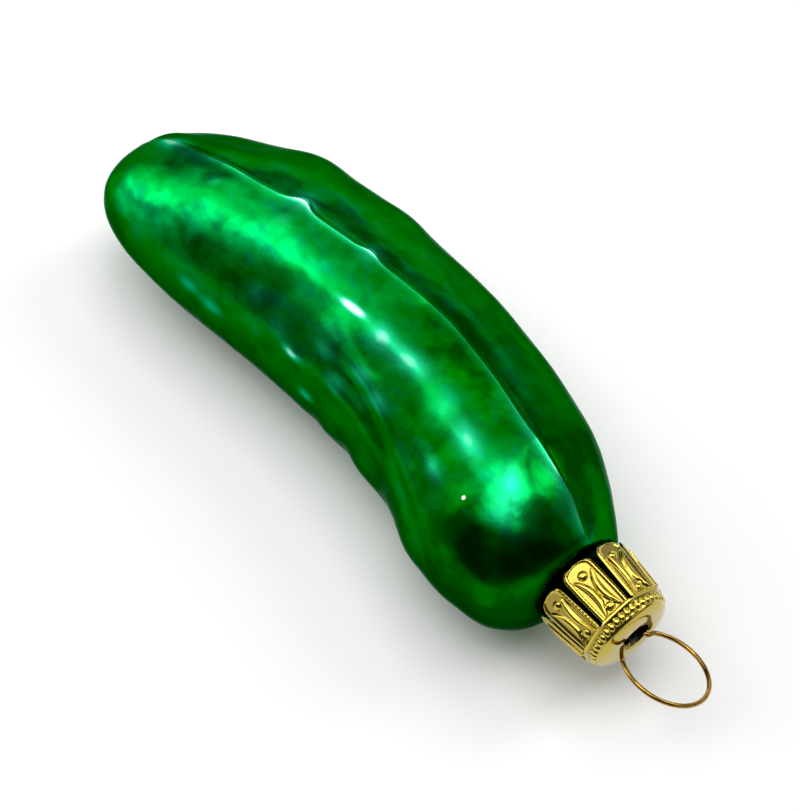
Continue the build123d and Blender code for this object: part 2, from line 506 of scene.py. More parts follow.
@dataclass(frozen=True)
class MattBoard:
    """White matt board under the ornament, with a faint unevenness and hardly any gloss."""

    light: str = "#ffffff"
    shade: str = "#fcfbfb"
    patch_mm: float = 60.0
    roughness: float = 0.9
    gloss: float = 0.1

    def material(self) -> bpy.types.Material:
        """Make the material.

        Returns:
            The node material.
        """
        material, tree = new_material("white matt board")
        place = add_node(tree, "ShaderNodeTexCoord").outputs["Object"]
        patch = add_node(tree, "ShaderNodeTexNoise", {"Vector": place, "Scale": 1 / (self.patch_mm * MM)})
        white = add_node(
            tree,
            "ShaderNodeMix",
            {SHARE: patch.outputs[0], UNDER: linear(self.shade), OVER: linear(self.light)},
            data_type="RGBA",
        )
        shader = add_node(
            tree,
            "ShaderNodeBsdfPrincipled",
            {
                "Base Color": white.outputs[MIXED],
                "Roughness": self.roughness,
                "Specular IOR Level": self.gloss,
            },
        )
        add_node(tree, "ShaderNodeOutputMaterial", {"Surface": shader.outputs[0]})
        return material


# The ornament's pieces, in millimetres from the neck's shoulder unless a comment says otherwise


@dataclass(frozen=True)
class NeckPlace:
    """Where the neck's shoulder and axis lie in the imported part, in millimetres."""

    x: float
    y: float
    z: float

    @classmethod
    def from_frame(cls, glass_length: float) -> "NeckPlace":
        """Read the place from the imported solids.

        Args:
            glass_length: Far tip to shoulder.

        Returns:
            The shoulder's place on the neck's axis.
        """
        far_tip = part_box(Body.GLASS.value)[0].x / MM
        cap_low, cap_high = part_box(Body.CAP.value)
        middle = (cap_low + cap_high) / 2 / MM
        return cls(far_tip + glass_length, middle.y, middle.z)

    def to_frame(self, points: np.ndarray) -> np.ndarray:
        """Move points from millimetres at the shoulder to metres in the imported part."""
        return (points + np.array((self.x, self.y, self.z))) * MM


@dataclass(frozen=True)
class Unevenness:
    """A soft random variation over the skin: its middle, its swing, the size of its patches and a seed."""

    middle: float
    swing: float
    size: float
    seed: int

    def at(self, points: np.ndarray) -> np.ndarray:
        """Value at each point."""
        return self.middle + self.swing * lumps(points, self.size, self.seed)


@dataclass(frozen=True)
class Wart:
    """A low swelling on the pickle's skin.

    It has a place, a height, half sizes along and round the body, a share of worn lacquer and painted
    glint, and a lean: how far it drifts round the body for each millimetre along.
    """

    x: float
    angle: float
    height: float
    along: float
    around: float
    worn: float = 0.0
    lean: float = 0.0


@dataclass(frozen=True)
class Ridge:
    """A blunt edge or fold that runs along the pickle.

    It has knots of place and angle, a height, and a half width in degrees. With a fade it ends where
    its knots do, and dies away over that distance.
    """

    course: Knots
    height: float
    width: float
    fade: float = 0.0

    def angle(self, x: np.ndarray) -> np.ndarray:
        """Angle of the edge at places along the neck's axis."""
        return course_at(x, self.course)

    def share(self, x: np.ndarray) -> np.ndarray:
        """Share of the full height at places along the neck's axis."""
        beyond = np.maximum(self.course[0][0] - x, 0) + np.maximum(x - self.course[-1][0], 0)
        return bell(beyond, self.fade) if self.fade else np.ones_like(x)


@dataclass(frozen=True)
class LacquerRun:
    """A spot of painted light on the lacquer, and of painted shade where its change is negative.

    It has a place, a half length along the body, a half width in degrees, and a change of the green's
    share.
    """

    x: float
    angle: float
    along: float
    around: float
    change: float = 1.0

    def share(self, x: np.ndarray, angle: np.ndarray) -> np.ndarray:
        """Share of the change at places along and round the body."""
        return bell(x - self.x, self.along) * bell(angle - self.angle, self.around)


@dataclass(frozen=True)
class LacquerFlow:
    """The lacquer's thickness, with painted highlights and painted shade; spans of angles are in degrees.

    The painted highlight along the crown has places, strengths and half widths in degrees. Beside it
    painted shade darkens the near flank, the glass by the neck, the side past the seam and a pool there
    near the neck, and a painted highlight lights a patch near the neck.
    """

    ground: float = 0.43
    shine: float = 0.62
    # Painted highlight along the crown: place, strength and half width in degrees
    crown_shine: tuple[tuple[float, float, float], ...] = (
        (-90, 0.6, 20.0),
        (-84, 1.3, 19.0),
        (-76, 1.45, 17.0),
        (-68, 1.4, 13.5),
        (-60, 1.3, 10.0),
        (-54, 0.85, 10.0),
        (-48, 0.6, 13.0),
        (-44, 0.6, 13.0),
        (-40, 0.25, 9.0),
        (-30, 0.25, 9.0),
        (-26, 0.8, 8.0),
        (-23, 0.3, 9.0),
        (-20, 0.4, 9.0),
        (-14, 0.6, 10.0),
        (-6, 0.0, 10.0),
    )
    blotches: tuple[Unevenness, ...] = (Unevenness(0.85, 0.25, 3.4, 31), Unevenness(0.0, 0.3, 1.4, 32))
    # A painted highlight patch near the neck
    patch: LacquerRun = LacquerRun(-10.8, 103.0, 6.0, 16.0)
    patch_edge: Span = (72.0, 78.0)
    patch_shine: Span = (0.5, 0.6)
    # Painted shade on the near flank
    flank: Span = (103.0, 133.0)
    flank_loss: float = 0.5
    underside: float = 220.0
    # Painted shade on the glass by the neck
    neck_span: Span = (-9.0, -2.0)
    neck_edge: Span = (72.0, 84.0)
    neck_turn: Span = (120.0, 140.0)
    neck_reach: float = 9.0
    # Painted shade past the seam, and more of it in a pool near the neck
    past_seam: Span = (80.0, 70.0)
    past_seam_loss: float = 0.07
    pool_place: float = -10.5
    pool_length: float = 4.5
    pool_loss: float = 0.9
    # Spots of painted light, and painted shade where the change is negative
    runs: tuple[LacquerRun, ...] = (
        LacquerRun(-28.0, 90.0, 19.0, 17.0, -0.34),
        LacquerRun(-64.0, 99.0, 10.0, 9.0, 0.1),
        LacquerRun(-55.0, 136.0, 3.5, 6.0, 0.35),
        LacquerRun(-51.0, 122.0, 3.0, 5.0, 0.25),
        LacquerRun(-44.5, 126.0, 3.5, 5.0, 0.4),
        LacquerRun(-47.8, 105.0, 3.0, 5.0, -0.15),
        LacquerRun(-57.0, 117.8, 4.0, 5.0, -0.22),
        LacquerRun(-28.0, 123.0, 8.0, 6.0, -0.1),
        LacquerRun(-68.0, 134.0, 7.0, 7.0, -0.15),
        LacquerRun(-16.0, 130.0, 5.0, 9.0, -0.2),
    )

    def thinness(self, points: np.ndarray, angle: np.ndarray, crown: Ridge) -> np.ndarray:
        """How thin the lacquer is, with the painted highlight, most of all along the crown, and painted
        shade.

        Args:
            points: Points of the skin.
            angle: Each point's angle in degrees.
            crown: The pickle's crown.

        Returns:
            A share from 0 to 1 at each point.
        """
        x = points[..., 0]
        angle = angle % 360
        near_side = angle < self.underside
        places, strengths, widths = zip(*self.crown_shine)
        blotches = sum(patches.at(points) for patches in self.blotches)
        # Painted highlight along the crown, made blotchy
        away = (angle - crown.angle(x)) / np.interp(x, places, widths)
        band = np.interp(x, places, strengths) * bell(away, 1.0) * blotches
        plain, blotchy = self.patch_shine
        patch = self.patch.share(x, angle) * ramp(angle, *self.patch_edge) * (plain + blotchy * blotches)
        flank = ramp(angle, *self.flank) * near_side
        # Painted shade by the neck, past the seam and in the pool near the neck
        gathered = ramp(x + self.neck_reach * ramp(angle, *self.neck_turn), *self.neck_span)
        gathered = gathered * ramp(angle, *self.neck_edge) * near_side
        past_seam = ramp(angle, *self.past_seam)
        pool = bell(x - self.pool_place, self.pool_length) * past_seam
        ground = self.ground * (1 - self.flank_loss * flank) * (1 - gathered) * (1 - self.pool_loss * pool)
        ground = ground - self.past_seam_loss * past_seam
        for run in self.runs:
            ground = ground + run.change * run.share(x, angle)
        return np.clip(ground + self.shine * np.maximum(band, patch), 0, 1)


@dataclass
class GlassPickle:
    """The blown body: curved, ridged and warty, with a mould seam, an open neck and a hollow inside."""

    # The blown body, and the narrow flat that it lies on
    length: float = 91.9
    half_width: float = 15.0
    half_height: float = 14.6
    wall: float = 0.9
    far_end: float = 32.5
    far_fullness: float = 2.4
    neck_end: float = 14.2
    neck_fullness: float = 1.7
    bend_crest: float = 42.3
    bend_offset: float = 3.9
    far_bend: float = 128.0
    neck_bend: float = 111.5
    flat_depth: float = 0.3
    # The neck and the shoulder round it
    neck_radius: float = 5.5
    neck_length: float = 10.5
    neck_wall: float = 0.9
    shoulder_land: float = 1.2
    rim_round: float = 0.3
    neck_fillet: float = 0.4
    shoulder_fade: float = 1.5
    # The mould seam: its form, its course round the body, and where it is rubbed and a glint is painted
    seam_height: float = 0.32
    seam_near_flank: float = 0.55
    seam_far_flank: float = 0.28
    seam_groove: float = 0.04
    groove_offset: float = 0.6
    groove_width: float = 0.35
    seam_course: Knots = (
        (-92.0, 78.0),
        (-87.0, 81.5),
        (-83.0, 87.5),
        (-77.0, 88.5),
        (-70.0, 89.5),
        (-57.0, 86.0),
        (-46.0, 83.0),
        (-36.0, 78.0),
        (-16.0, 77.5),
        (-9.0, 73.0),
        (-4.0, 68.0),
        (0.0, 76.0),
    )
    seam_kinks: Knots = ((-62.8, -4.0), (-50.3, -2.0))
    kink_length: float = 1.7
    seam_wear: Knots = (
        (-90.0, 0.4),
        (-85.0, 0.5),
        (-76.0, 0.45),
        (-70.0, 0.35),
        (-64.0, 0.9),
        (-61.0, 0.9),
        (-58.0, 0.45),
        (-50.0, 0.7),
        (-46.0, 0.15),
        (-22.0, 0.12),
        (-16.0, 0.5),
        (-8.0, 0.8),
        (-2.0, 0.7),
    )
    seam_rubbing: Unevenness = Unevenness(0.8, 0.35, 2.5, 41)
    seam_wear_edge: float = 0.1
    seam_wear_falloff: float = 2.0
    seam_bluntness: Knots = ((-79.0, 1.0), (-74.0, 0.0), (-22.0, 0.0), (-14.0, 0.7))
    blunt_falloff: float = 0.8
    # Ridges and folds along the body; those with one knot run straight
    crown: Ridge = Ridge(
        (
            (-84, 138),
            (-75, 131),
            (-67, 120),
            (-60, 113),
            (-54, 110.5),
            (-38, 110),
            (-25, 107),
            (-15, 106),
            (-8, 90),
        ),
        0.12,
        9.0,
    )
    crown_foot: Ridge = Ridge(((-84, 150), (-75, 141), (-64, 133), (-50, 126), (-20, 121)), -0.06, 6.0)
    ridges: tuple[Ridge, ...] = (
        Ridge(((-46, 153),), 0.2, 10.0),
        Ridge(((-46, 187),), 0.1, 12.0),
        Ridge(((-46, 232),), 0.2, 14.0),
        Ridge(((-46, 300),), 0.2, 14.0),
        Ridge(((-46, 345),), 0.25, 14.0),
        Ridge(((-46, 38),), 0.2, 14.0),
        Ridge(
            ((-37, 140), (-32.7, 143.5), (-29.6, 147), (-26.8, 150), (-23.7, 154), (-21, 159)),
            -0.3,
            5.0,
            4.0,
        ),
        Ridge(((-38.5, 130.5), (-33.3, 135.5), (-28, 142.5), (-23.9, 145), (-20, 147)), 0.22, 6.0, 4.0),
        Ridge(((-40, 151), (-36, 151), (-29.5, 158), (-25.5, 165)), 0.2, 6.0, 4.0),
    )
    ridge_strength: Unevenness = Unevenness(1.0, 0.5, 14.0, 21)
    # Swellings, dents, and rubbed spots with painted glints
    warts: tuple[Wart, ...] = (
        Wart(-71.0, 32.0, 0.7, 4.0, 5.0),
        Wart(-55.5, 26.0, 0.45, 4.0, 4.0),
        Wart(-37.8, 23.0, 0.15, 5.0, 4.0),
        Wart(-43.8, 187.0, -0.28, 1.9, 5.0),
        Wart(-40.2, 187.0, 0.2, 1.8, 5.0),
        Wart(-37.0, 188.0, -0.3, 1.8, 5.0),
        Wart(-33.0, 187.0, 0.2, 2.0, 5.0),
        Wart(-28.2, 184.0, -0.4, 2.2, 5.0),
        Wart(-62.8, 83.0, 0.25, 2.2, 2.2, 0.5),
        Wart(-50.3, 82.0, 0.16, 1.8, 2.0, 0.3),
        Wart(-85.0, 84.0, 0.6, 2.6, 2.2, 0.8),
        Wart(-62.5, 99.0, 0.1, 1.4, 1.6, 0.15),
        Wart(-74.3, 101.0, 0.08, 1.4, 1.4, 0.2),
        Wart(-45.4, 110.8, 0.08, 2.8, 0.72, 1.8, 0.11),
        Wart(-45.2, 103.0, -0.12, 2.6, 1.6),
        Wart(-39.3, 110.5, 0.12, 2.6, 2.0, 0.6),
        Wart(-34.0, 108.3, 0.1, 4.2, 1.9, 0.55, 0.17),
        Wart(-25.7, 107.0, 0.08, 2.6, 2.4, 0.12),
        Wart(-19.8, 107.5, 0.1, 3.6, 1.9, 0.5),
        Wart(-11.6, 99.0, 0.05, 2.6, 2.2, 0.35),
        Wart(-48.7, 153.0, 0.16, 1.8, 0.9, 0.8),
        Wart(-45.0, 127.0, 0.45, 3.2, 2.5, 0.1),
        Wart(-44.5, 137.0, 0.1, 2.4, 1.4, 0.28),
        Wart(-37.9, 132.0, 0.14, 2.4, 1.3, 0.4),
        Wart(-33.4, 134.5, 0.14, 2.4, 1.3, 0.4),
        Wart(-20.5, 131.5, 0.1, 2.4, 1.3, 0.25),
        Wart(-44.6, 174.0, 0.16, 1.7, 1.2, 0.45),
        Wart(-63.5, 167.0, 0.12, 2.4, 1.4, 0.3),
        Wart(-68.0, 164.0, 0.1, 2.0, 1.4, 0.3),
        Wart(-57.8, 139.0, 0.06, 1.8, 1.5, 0.2),
        Wart(-52.5, 146.0, 0.08, 2.2, 1.5, 0.2),
        Wart(-40.5, 147.0, 0.1, 2.2, 1.4, 0.25),
        Wart(-36.0, 182.0, -0.5, 8.0, 9.0),
        Wart(-19.0, 186.0, 0.85, 4.5, 9.0),
        Wart(-25.5, 186.0, -0.3, 3.5, 7.0),
        Wart(-8.0, 188.0, -0.7, 4.0, 8.0),
        Wart(-79.5, 56.0, -1.1, 6.5, 6.0),
        Wart(-89.0, 63.0, 0.9, 2.5, 2.0),
        Wart(-9.6, 107.0, 0.0, 3.0, 3.0, 0.35),
    )
    # The skin's small unevenness, its lacquer with painted light and shade, and a chip in that
    skin_grain: tuple[Unevenness, ...] = (
        Unevenness(0.0, 0.15, 8.0, 0),
        Unevenness(0.0, 0.08, 3.4, 1),
        Unevenness(0.0, 0.045, 1.9, 2),
        Unevenness(0.0, 0.016, 1.1, 3),
    )
    grain_run: float = 0.7
    flow: LacquerFlow = LacquerFlow()
    speck: Span = (-14.4, 125.0)
    # Rows and columns of the mesh; the columns crowd towards the seam
    body_rows: int = 440
    inner_rows: int = 140
    neck_rows: int = 6
    neck_shade_rows: int = 4
    rim_rows: int = 8
    bore_rows: int = 4
    half_columns: int = 150
    column_crowding: float = 1.6
    finish: SatinLacquer = field(default_factory=SatinLacquer)

    @property
    def shoulder_radius(self) -> float:
        """Outer radius of the flat shoulder round the neck."""
        return self.neck_radius + self.shoulder_land

    @property
    def bore(self) -> float:
        """Inner radius of the neck."""
        return self.neck_radius - self.neck_wall

    def seam_angle(self, x: np.ndarray) -> np.ndarray:
        """Angle of the mould seam's upper crest, in degrees from +Y towards +Z.

        Args:
            x: Places along the neck's axis.

        Returns:
            The angle at each place.
        """
        course = course_at(x, self.seam_course)
        for at, turn in self.seam_kinks:
            course = course + turn * bell(x - at, self.kink_length)
        return course

    def section(self, x: np.ndarray, inset: float) -> tuple[np.ndarray, np.ndarray, np.ndarray]:
        """Size of the body's section.

        Args:
            x: Places along the neck's axis.
            inset: How far the section is drawn in, for the inside of the glass.

        Returns:
            Middle along Y, half width and half height at each place.
        """
        into_far = np.clip((self.far_end - self.length - x) / (self.far_end - inset), 0, 1)
        into_neck = np.clip((self.neck_end + x) / (self.neck_end - inset), 0, 1)
        far = (1 - into_far**self.far_fullness) ** (1 / self.far_fullness)
        near = (1 - into_neck**self.neck_fullness) ** (1 / self.neck_fullness)
        from_crest = x + self.bend_crest
        bend = np.where(from_crest < 0, self.far_bend, self.neck_bend)
        spine = self.bend_offset - bend + np.sqrt(bend**2 - from_crest**2)
        land = self.shoulder_radius - inset
        half_width = (land + (self.half_width - self.shoulder_radius) * near) * far
        half_height = (land + (self.half_height - self.shoulder_radius) * near) * far
        return spine * near, half_width, half_height

    def skin(self, x: np.ndarray, inset: float) -> tuple[np.ndarray, np.ndarray]:
        """Smooth surface of the body.

        Args:
            x: Places along the neck's axis, one per row.
            inset: How far the surface is drawn in.

        Returns:
            Points in rows and columns, and each point's angle in degrees.
        """
        turn = np.linspace(-1, 1, 2 * self.half_columns + 1)[:-1]
        steps = 180 * np.sign(turn) * np.abs(turn) ** self.column_crowding
        angle = self.seam_angle(x)[:, None] + steps[None, :]
        middle, half_width, half_height = (size[:, None] for size in self.section(x, inset))
        y = middle + half_width * np.cos(np.radians(angle))
        z = half_height * np.sin(np.radians(angle))
        return np.stack([np.broadcast_to(x[:, None], y.shape), y, z], axis=-1), angle

    def relief(self, points: np.ndarray, angle: np.ndarray) -> tuple[np.ndarray, np.ndarray]:
        """Height of the seam, ridges, warts and lumps above the smooth skin.

        Args:
            points: Points of the smooth skin.
            angle: Each point's angle in degrees.

        Returns:
            The height at each point, and the share of worn lacquer and painted glint there, from 0 to 1.
        """
        x = points[..., 0]
        per_degree = self.half_width * math.pi / 180
        stretched = points * np.array((self.grain_run, 1.0, 1.0))
        height = sum(grain.at(stretched) for grain in self.skin_grain)
        strength = self.ridge_strength.at(points)
        for ridge in (self.crown, self.crown_foot, *self.ridges):
            away = turned(angle, ridge.angle(x))
            height += ridge.height * strength * ridge.share(x) * bell(away, ridge.width)
        worn = np.zeros_like(x)
        for wart in self.warts:
            along = x - wart.x
            away = turned(angle, wart.angle) * per_degree + wart.lean * along
            share = bell(along, wart.along) * bell(away, wart.around)
            height += wart.height * share
            # Worn lacquer and painted glint on the wart's top
            worn += wart.worn * share**2
        blunt = np.interp(x, *zip(*self.seam_bluntness))
        falloff = self.seam_wear_falloff - self.blunt_falloff * blunt
        rubbed = np.interp(x, *zip(*self.seam_wear)) * self.seam_rubbing.at(points)
        for half in (0, 180):
            away = turned(angle, self.seam_angle(x) + half) * per_degree
            near_side = np.exp(-np.maximum(away, 0) / (self.seam_near_flank * (1 + blunt)))
            far_side = np.exp(np.minimum(away, 0) / self.seam_far_flank)
            groove = self.seam_groove * bell(away + self.groove_offset, self.groove_width)
            height += self.seam_height * near_side * far_side - groove
            # Rubbed seam crest with its painted glint
            worn += rubbed * near_side**falloff * far_side * (away > -self.seam_wear_edge)
        return height, np.clip(worn, 0, 1)

    def press(self, x: np.ndarray, points: np.ndarray, angle: np.ndarray) -> np.ndarray:
        """Press the mould's relief into a smooth skin; it shows on both faces of blown glass.

        Args:
            x: Places along the neck's axis, one per row.
            points: Points of the smooth skin, which are moved.
            angle: Each point's angle in degrees.

        Returns:
            The share of worn lacquer and painted glint at each point, from 0 to 1.
        """
        height, worn = self.relief(points, angle)
        _, half_width, _ = self.section(x, 0)
        fade = ((half_width / self.half_width) * ramp(x, 0, -self.shoulder_fade))[:, None]
        points[..., 1] += height * fade * np.cos(np.radians(angle))
        points[..., 2] += height * fade * np.sin(np.radians(angle))
        return worn * fade

    def neck_outline(self) -> tuple[list[Span], int]:
        """Outline of the neck, from its root over the rim and down its bore.

        Returns:
            Places along the axis with their radius, and how many of them are on the outside.
        """
        outer, fillet = self.neck_radius, self.neck_fillet
        rim = self.neck_length - self.rim_round
        line = [(0.0, outer + fillet), (fillet * 0.25, outer + fillet * 0.3), (fillet, outer)]
        line += [(rim * i / self.neck_rows, outer) for i in range(1, self.neck_rows + 1)]
        outside = len(line)
        middle = (outer + self.bore) / 2
        for turn in (math.pi * i / self.rim_rows for i in range(1, self.rim_rows)):
            radius = middle + self.neck_wall / 2 * math.cos(turn)
            line.append((rim + self.rim_round * math.sin(turn), radius))
        line += [(rim * (1 - i / self.bore_rows), self.bore) for i in range(self.bore_rows + 1)]
        line.append((-self.wall, self.bore))
        return line, outside

    def build(self, place: NeckPlace) -> bpy.types.Object:
        """Make the closed hollow shell as one mesh.

        Args:
            place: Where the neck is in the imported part.

        Returns:
            The shell.
        """
        share = np.linspace(0, math.pi, self.body_rows)
        x = -self.length + self.length * (1 - np.cos(share)) / 2
        points, angle = self.skin(x, 0)
        worn = self.press(x, points, angle)
        points[..., 2] = np.maximum(points[..., 2], self.flat_depth - self.half_height)

        outline, outside = self.neck_outline()
        turn = np.radians(angle[-1])
        neck = np.array([[(at, r * math.cos(a), r * math.sin(a)) for a in turn] for at, r in outline])

        share = np.linspace(math.pi, 0, self.inner_rows)
        reach = self.length - 2 * self.wall
        inner_x = self.wall - self.length + reach * (1 - np.cos(share)) / 2
        inner, inner_angle = self.skin(inner_x, self.wall)
        self.press(inner_x, inner, inner_angle)
        inner[..., 2] = np.maximum(inner[..., 2], self.flat_depth + self.wall / 2 - self.half_height)

        shell = grid_object("pickle_glass", place.to_frame(np.concatenate([points, neck, inner])), True)
        hidden = len(neck) + len(inner)
        # Share of thin lacquer, with painted highlights and painted shade, for the material
        thin = self.flow.thinness(points, angle, self.crown)
        store(shell, "worn", np.pad(worn, ((0, hidden), (0, 0))))
        store(shell, "thin", np.pad(thin, ((0, hidden), (0, 0))))
        on_neck = self.finish.neck_mark * ramp(np.arange(outside), 0, self.neck_shade_rows)
        within = np.concatenate([np.zeros(len(x)), on_neck, np.ones(hidden - outside)])
        store(shell, "inside", np.repeat(within[:, None], angle.shape[1], axis=1))
        weld(shell)
        stand_for(shell, Body.GLASS)
        return shell

    def dress(self, shell: bpy.types.Object, place: NeckPlace) -> None:
        """Give the shell its lacquer.

        Args:
            shell: The shell.
            place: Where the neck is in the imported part.
        """
        at, angle = self.speck
        middle, half_width, half_height = self.section(np.array([at]), 0)
        turn = math.radians(angle)
        speck = (at, middle[0] + half_width[0] * math.cos(turn), half_height[0] * math.sin(turn))
        shell.data.materials.append(self.finish.material(Vector(place.to_frame(np.array(speck)))))


@dataclass
class CrownCap:
    """The stamped cap: eight embossed petals, a beaded ring, and a domed top with a round hole.

    Places of the petals' pattern are measured from the petals' foot towards their tips.
    """

    # The sheet and its outline, from the petals' tips to the hole
    sheet: float = 0.25
    tip: float = 0.5
    top: float = 11.278
    edge_depth: float = 0.95
    ring_depth: float = 0.95
    step_depth: float = 0.4
    tip_radius: float = 7.2
    foot_radius: float = 6.4
    ring_radius: float = 6.0
    top_radius: float = 3.4
    hole_radius: float = 2.4
    hole_dip: float = 0.08
    hole_dip_width: float = 0.4
    # Petals, which stand a little unevenly, and the slots between them
    petals: int = 8
    petal_angle: float = 106.0
    petal_round: float = 1.5
    petal_fullness: float = 2.6
    petal_tip_flat: float = 1.3
    petal_flatness: float = 0.75
    petal_swell: float = 0.06
    petal_spring: float = 0.1
    spring_seed: int = 5
    slot_width: float = 0.6
    slot_spread: float = 0.2
    slot_end: float = 0.1
    slot_detail: float = 0.5
    slot_row_gap: float = 0.01
    # The beaded ring
    ring_taper: float = 0.2
    flutes: int = 40
    flute_height: float = 0.3
    flute_inset: float = 0.2
    # Stamped pattern of a petal: border, hem, leaves, dots and hollows
    border_height: float = 0.18
    border_inset: float = 0.32
    border_half: float = 0.22
    bead_pitch: float = 0.58
    bead_depth: float = 0.07
    hem_rise: float = 1.5
    hem_place: float = 0.42
    hem_softness: float = 0.05
    leaf_height: float = 0.44
    leaf_half: float = 0.5
    leaf_middle: float = 3.55
    leaf_reach: float = 3.1
    leaf_offset: float = 0.54
    leaf_bow: float = 0.78
    leaf_fullness: float = 0.7
    dots: Span = (1.25, 6.6)
    dot_radius: float = 0.62
    dot_height: float = 0.36
    moat_radius: float = 1.2
    moat_half: float = 0.22
    hollows: Knots = ((6.75, 1.2), (7.3, 0.55), (1.1, 0.95))
    hollow_half: Span = (0.4, 0.34)
    hollow_depth: float = 0.1
    # Share of full gold on plain sheet, the rise of relief that gets full gold, and on the top; less is
    # painted shade
    plain_shine: float = 0.45
    full_shine_rise: float = 0.16
    top_shine: float = 0.8
    # Rows and columns of the mesh, and how near its petals are joined
    join_gap: float = 0.002
    blade_rows: int = 112
    slot_rows: int = 16
    foot_rows: int = 4
    step_rows: int = 10
    ring_rows: int = 26
    edge_rows: int = 14
    top_rows: int = 20
    columns: int = 72
    finish: StampedBrass = field(default_factory=StampedBrass)

    @property
    def ring_top(self) -> float:
        """Upper end of the beaded ring."""
        return self.top - self.edge_depth

    @property
    def ring_foot(self) -> float:
        """Lower end of the beaded ring."""
        return self.ring_top - self.ring_depth

    @property
    def petal_foot(self) -> float:
        """Where the petals begin, below the step under the ring."""
        return self.ring_foot - self.step_depth

    def profile(self) -> np.ndarray:
        """Outline of the cap through the middle of a petal, from the tip to the hole.

        Returns:
            Rows of place along the axis and radius.
        """
        slot_end = self.petal_foot - self.slot_end
        close = slot_end - self.slot_detail
        blade = np.concatenate(
            [
                np.linspace(self.tip, close, self.blade_rows),
                np.linspace(close + self.slot_row_gap, slot_end, self.slot_rows),
                np.linspace(slot_end, self.petal_foot, self.foot_rows)[1:],
            ]
        )
        share = (blade - self.tip) / (self.petal_foot - self.tip)
        swell = self.petal_swell * np.sin(math.pi * share)
        petal = (blade, self.tip_radius + (self.foot_radius - self.tip_radius) * share + swell)
        share = np.linspace(0, 1, self.step_rows)[1:]
        ring_start = self.ring_radius + self.ring_taper
        drop = (ring_start - self.foot_radius) * ease(share)
        step = (self.petal_foot + self.step_depth * share, self.foot_radius + drop)
        share = np.linspace(0, 1, self.ring_rows)[1:]
        ring = (self.ring_foot + self.ring_depth * share, ring_start - self.ring_taper * share)
        turn = np.linspace(0, math.pi / 2, self.edge_rows)[1:]
        radius = self.top_radius + (self.ring_radius - self.top_radius) * np.cos(turn)
        edge = (self.ring_top + self.edge_depth * np.sin(turn), radius)
        share = np.linspace(0, 1, self.top_rows)[1:]
        radius = self.top_radius + (self.hole_radius - self.top_radius) * share
        top = (self.top - self.hole_dip * bell(radius - self.hole_radius, self.hole_dip_width), radius)
        return np.concatenate([np.column_stack(part) for part in (petal, step, ring, edge, top)])

    def half_petal(self, x: np.ndarray) -> np.ndarray:
        """Half width of a petal, or of a full sector beyond the slots.

        Args:
            x: Places along the axis.

        Returns:
            Half widths along the curve, in millimetres.
        """
        full = self.foot_radius * math.pi / self.petals
        end = self.petal_foot - self.slot_end
        half_slot = self.slot_width / 2
        round_end = np.sqrt(1 - ramp(x, end - half_slot, end) ** 2)
        slot = half_slot * round_end + self.slot_spread * ramp(x, end, self.tip) ** 2
        slot = np.where(x >= end, 0, slot)
        into_tip = ramp(x, self.tip + self.petal_round, self.tip)
        span = full - half_slot - self.slot_spread - self.petal_tip_flat / 2
        arch = (1 - into_tip**self.petal_fullness) ** (1 / self.petal_fullness)
        return full - slot - span * (1 - arch)

    def emboss(self, side: np.ndarray, x: np.ndarray, half: np.ndarray) -> np.ndarray:
        """Stamped pattern of a petal: a border, two leaves back to back, and a dot at each end.

        Args:
            side: Distance from the petal's middle line.
            x: Places along the axis.
            half: The petal's half width at each place.

        Returns:
            Height of the pattern.
        """
        up = self.petal_foot - x
        slope = np.gradient(half[:, 0], x[:, 0])[:, None]
        to_edge = (half - np.abs(side)) / np.sqrt(1 + slope**2)
        beads = 1 - self.bead_depth * (1 - np.cos(2 * math.pi * up / self.bead_pitch))
        height = self.border_height * beads * bell(to_edge - self.border_inset, self.border_half)
        hem = 1 + np.exp((up - self.hem_place) / self.hem_softness)
        height = np.maximum(height, self.hem_rise * self.border_height / hem)
        across_half, along_half = self.hollow_half
        for at, out in self.hollows:
            away = np.hypot((np.abs(side) - out) / across_half, (up - at) / along_half)
            height = height - self.hollow_depth * np.clip(1 - away**2, 0, 1)
        along = np.clip((up - self.leaf_middle) / self.leaf_reach, -1, 1)
        half_width = self.leaf_half * np.sqrt(1 - along**2) + HAIR
        for way in (-1, 1):
            course = way * (self.leaf_offset + self.leaf_bow * along**2)
            across = np.clip(np.abs(side - course) / half_width, 0, 1)
            leaf = (1 - across**2) ** self.leaf_fullness * (np.abs(along) < 1)
            height = np.maximum(height, self.leaf_height * leaf)
        for at in self.dots:
            away = np.hypot(side, up - at) / self.dot_radius
            height = height - self.hollow_depth * bell(away - self.moat_radius, self.moat_half)
            height = np.maximum(height, self.dot_height * np.sqrt(np.clip(1 - away**2, 0, 1)))
        return height * (x < self.petal_foot)

    def beading(self, x: np.ndarray, share: np.ndarray) -> np.ndarray:
        """Round beads of the ring above the petals.

        Args:
            x: Places along the axis.
            share: Places across a petal's sector, from -1 to 1.

        Returns:
            Height of the beads.
        """
        low = self.petal_foot + self.flute_inset
        along = (2 * x - low - self.ring_top) / (self.ring_top - low)
        per_petal = self.flutes / self.petals
        across = 2 * ((share + 1) * per_petal / 2 % 1) - 1
        return self.flute_height * np.sqrt(np.clip(1 - along**2 - across**2, 0, 1))

    def build(self, place: NeckPlace) -> bpy.types.Object:
        """Make the sheet and give it its thickness.

        Args:
            place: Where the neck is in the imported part.

        Returns:
            The cap.
        """
        line = self.profile()
        x = line[:, :1]
        half = self.half_petal(x)
        share = np.linspace(-1, 1, self.columns + 1)[None, :]
        side = half * share
        slopes = np.gradient(line, axis=0)
        slopes /= np.linalg.norm(slopes, axis=1, keepdims=True)
        out_x, out_r = -slopes[:, 1:], slopes[:, :1]
        pattern = self.emboss(side, x, half) + self.beading(x, share)
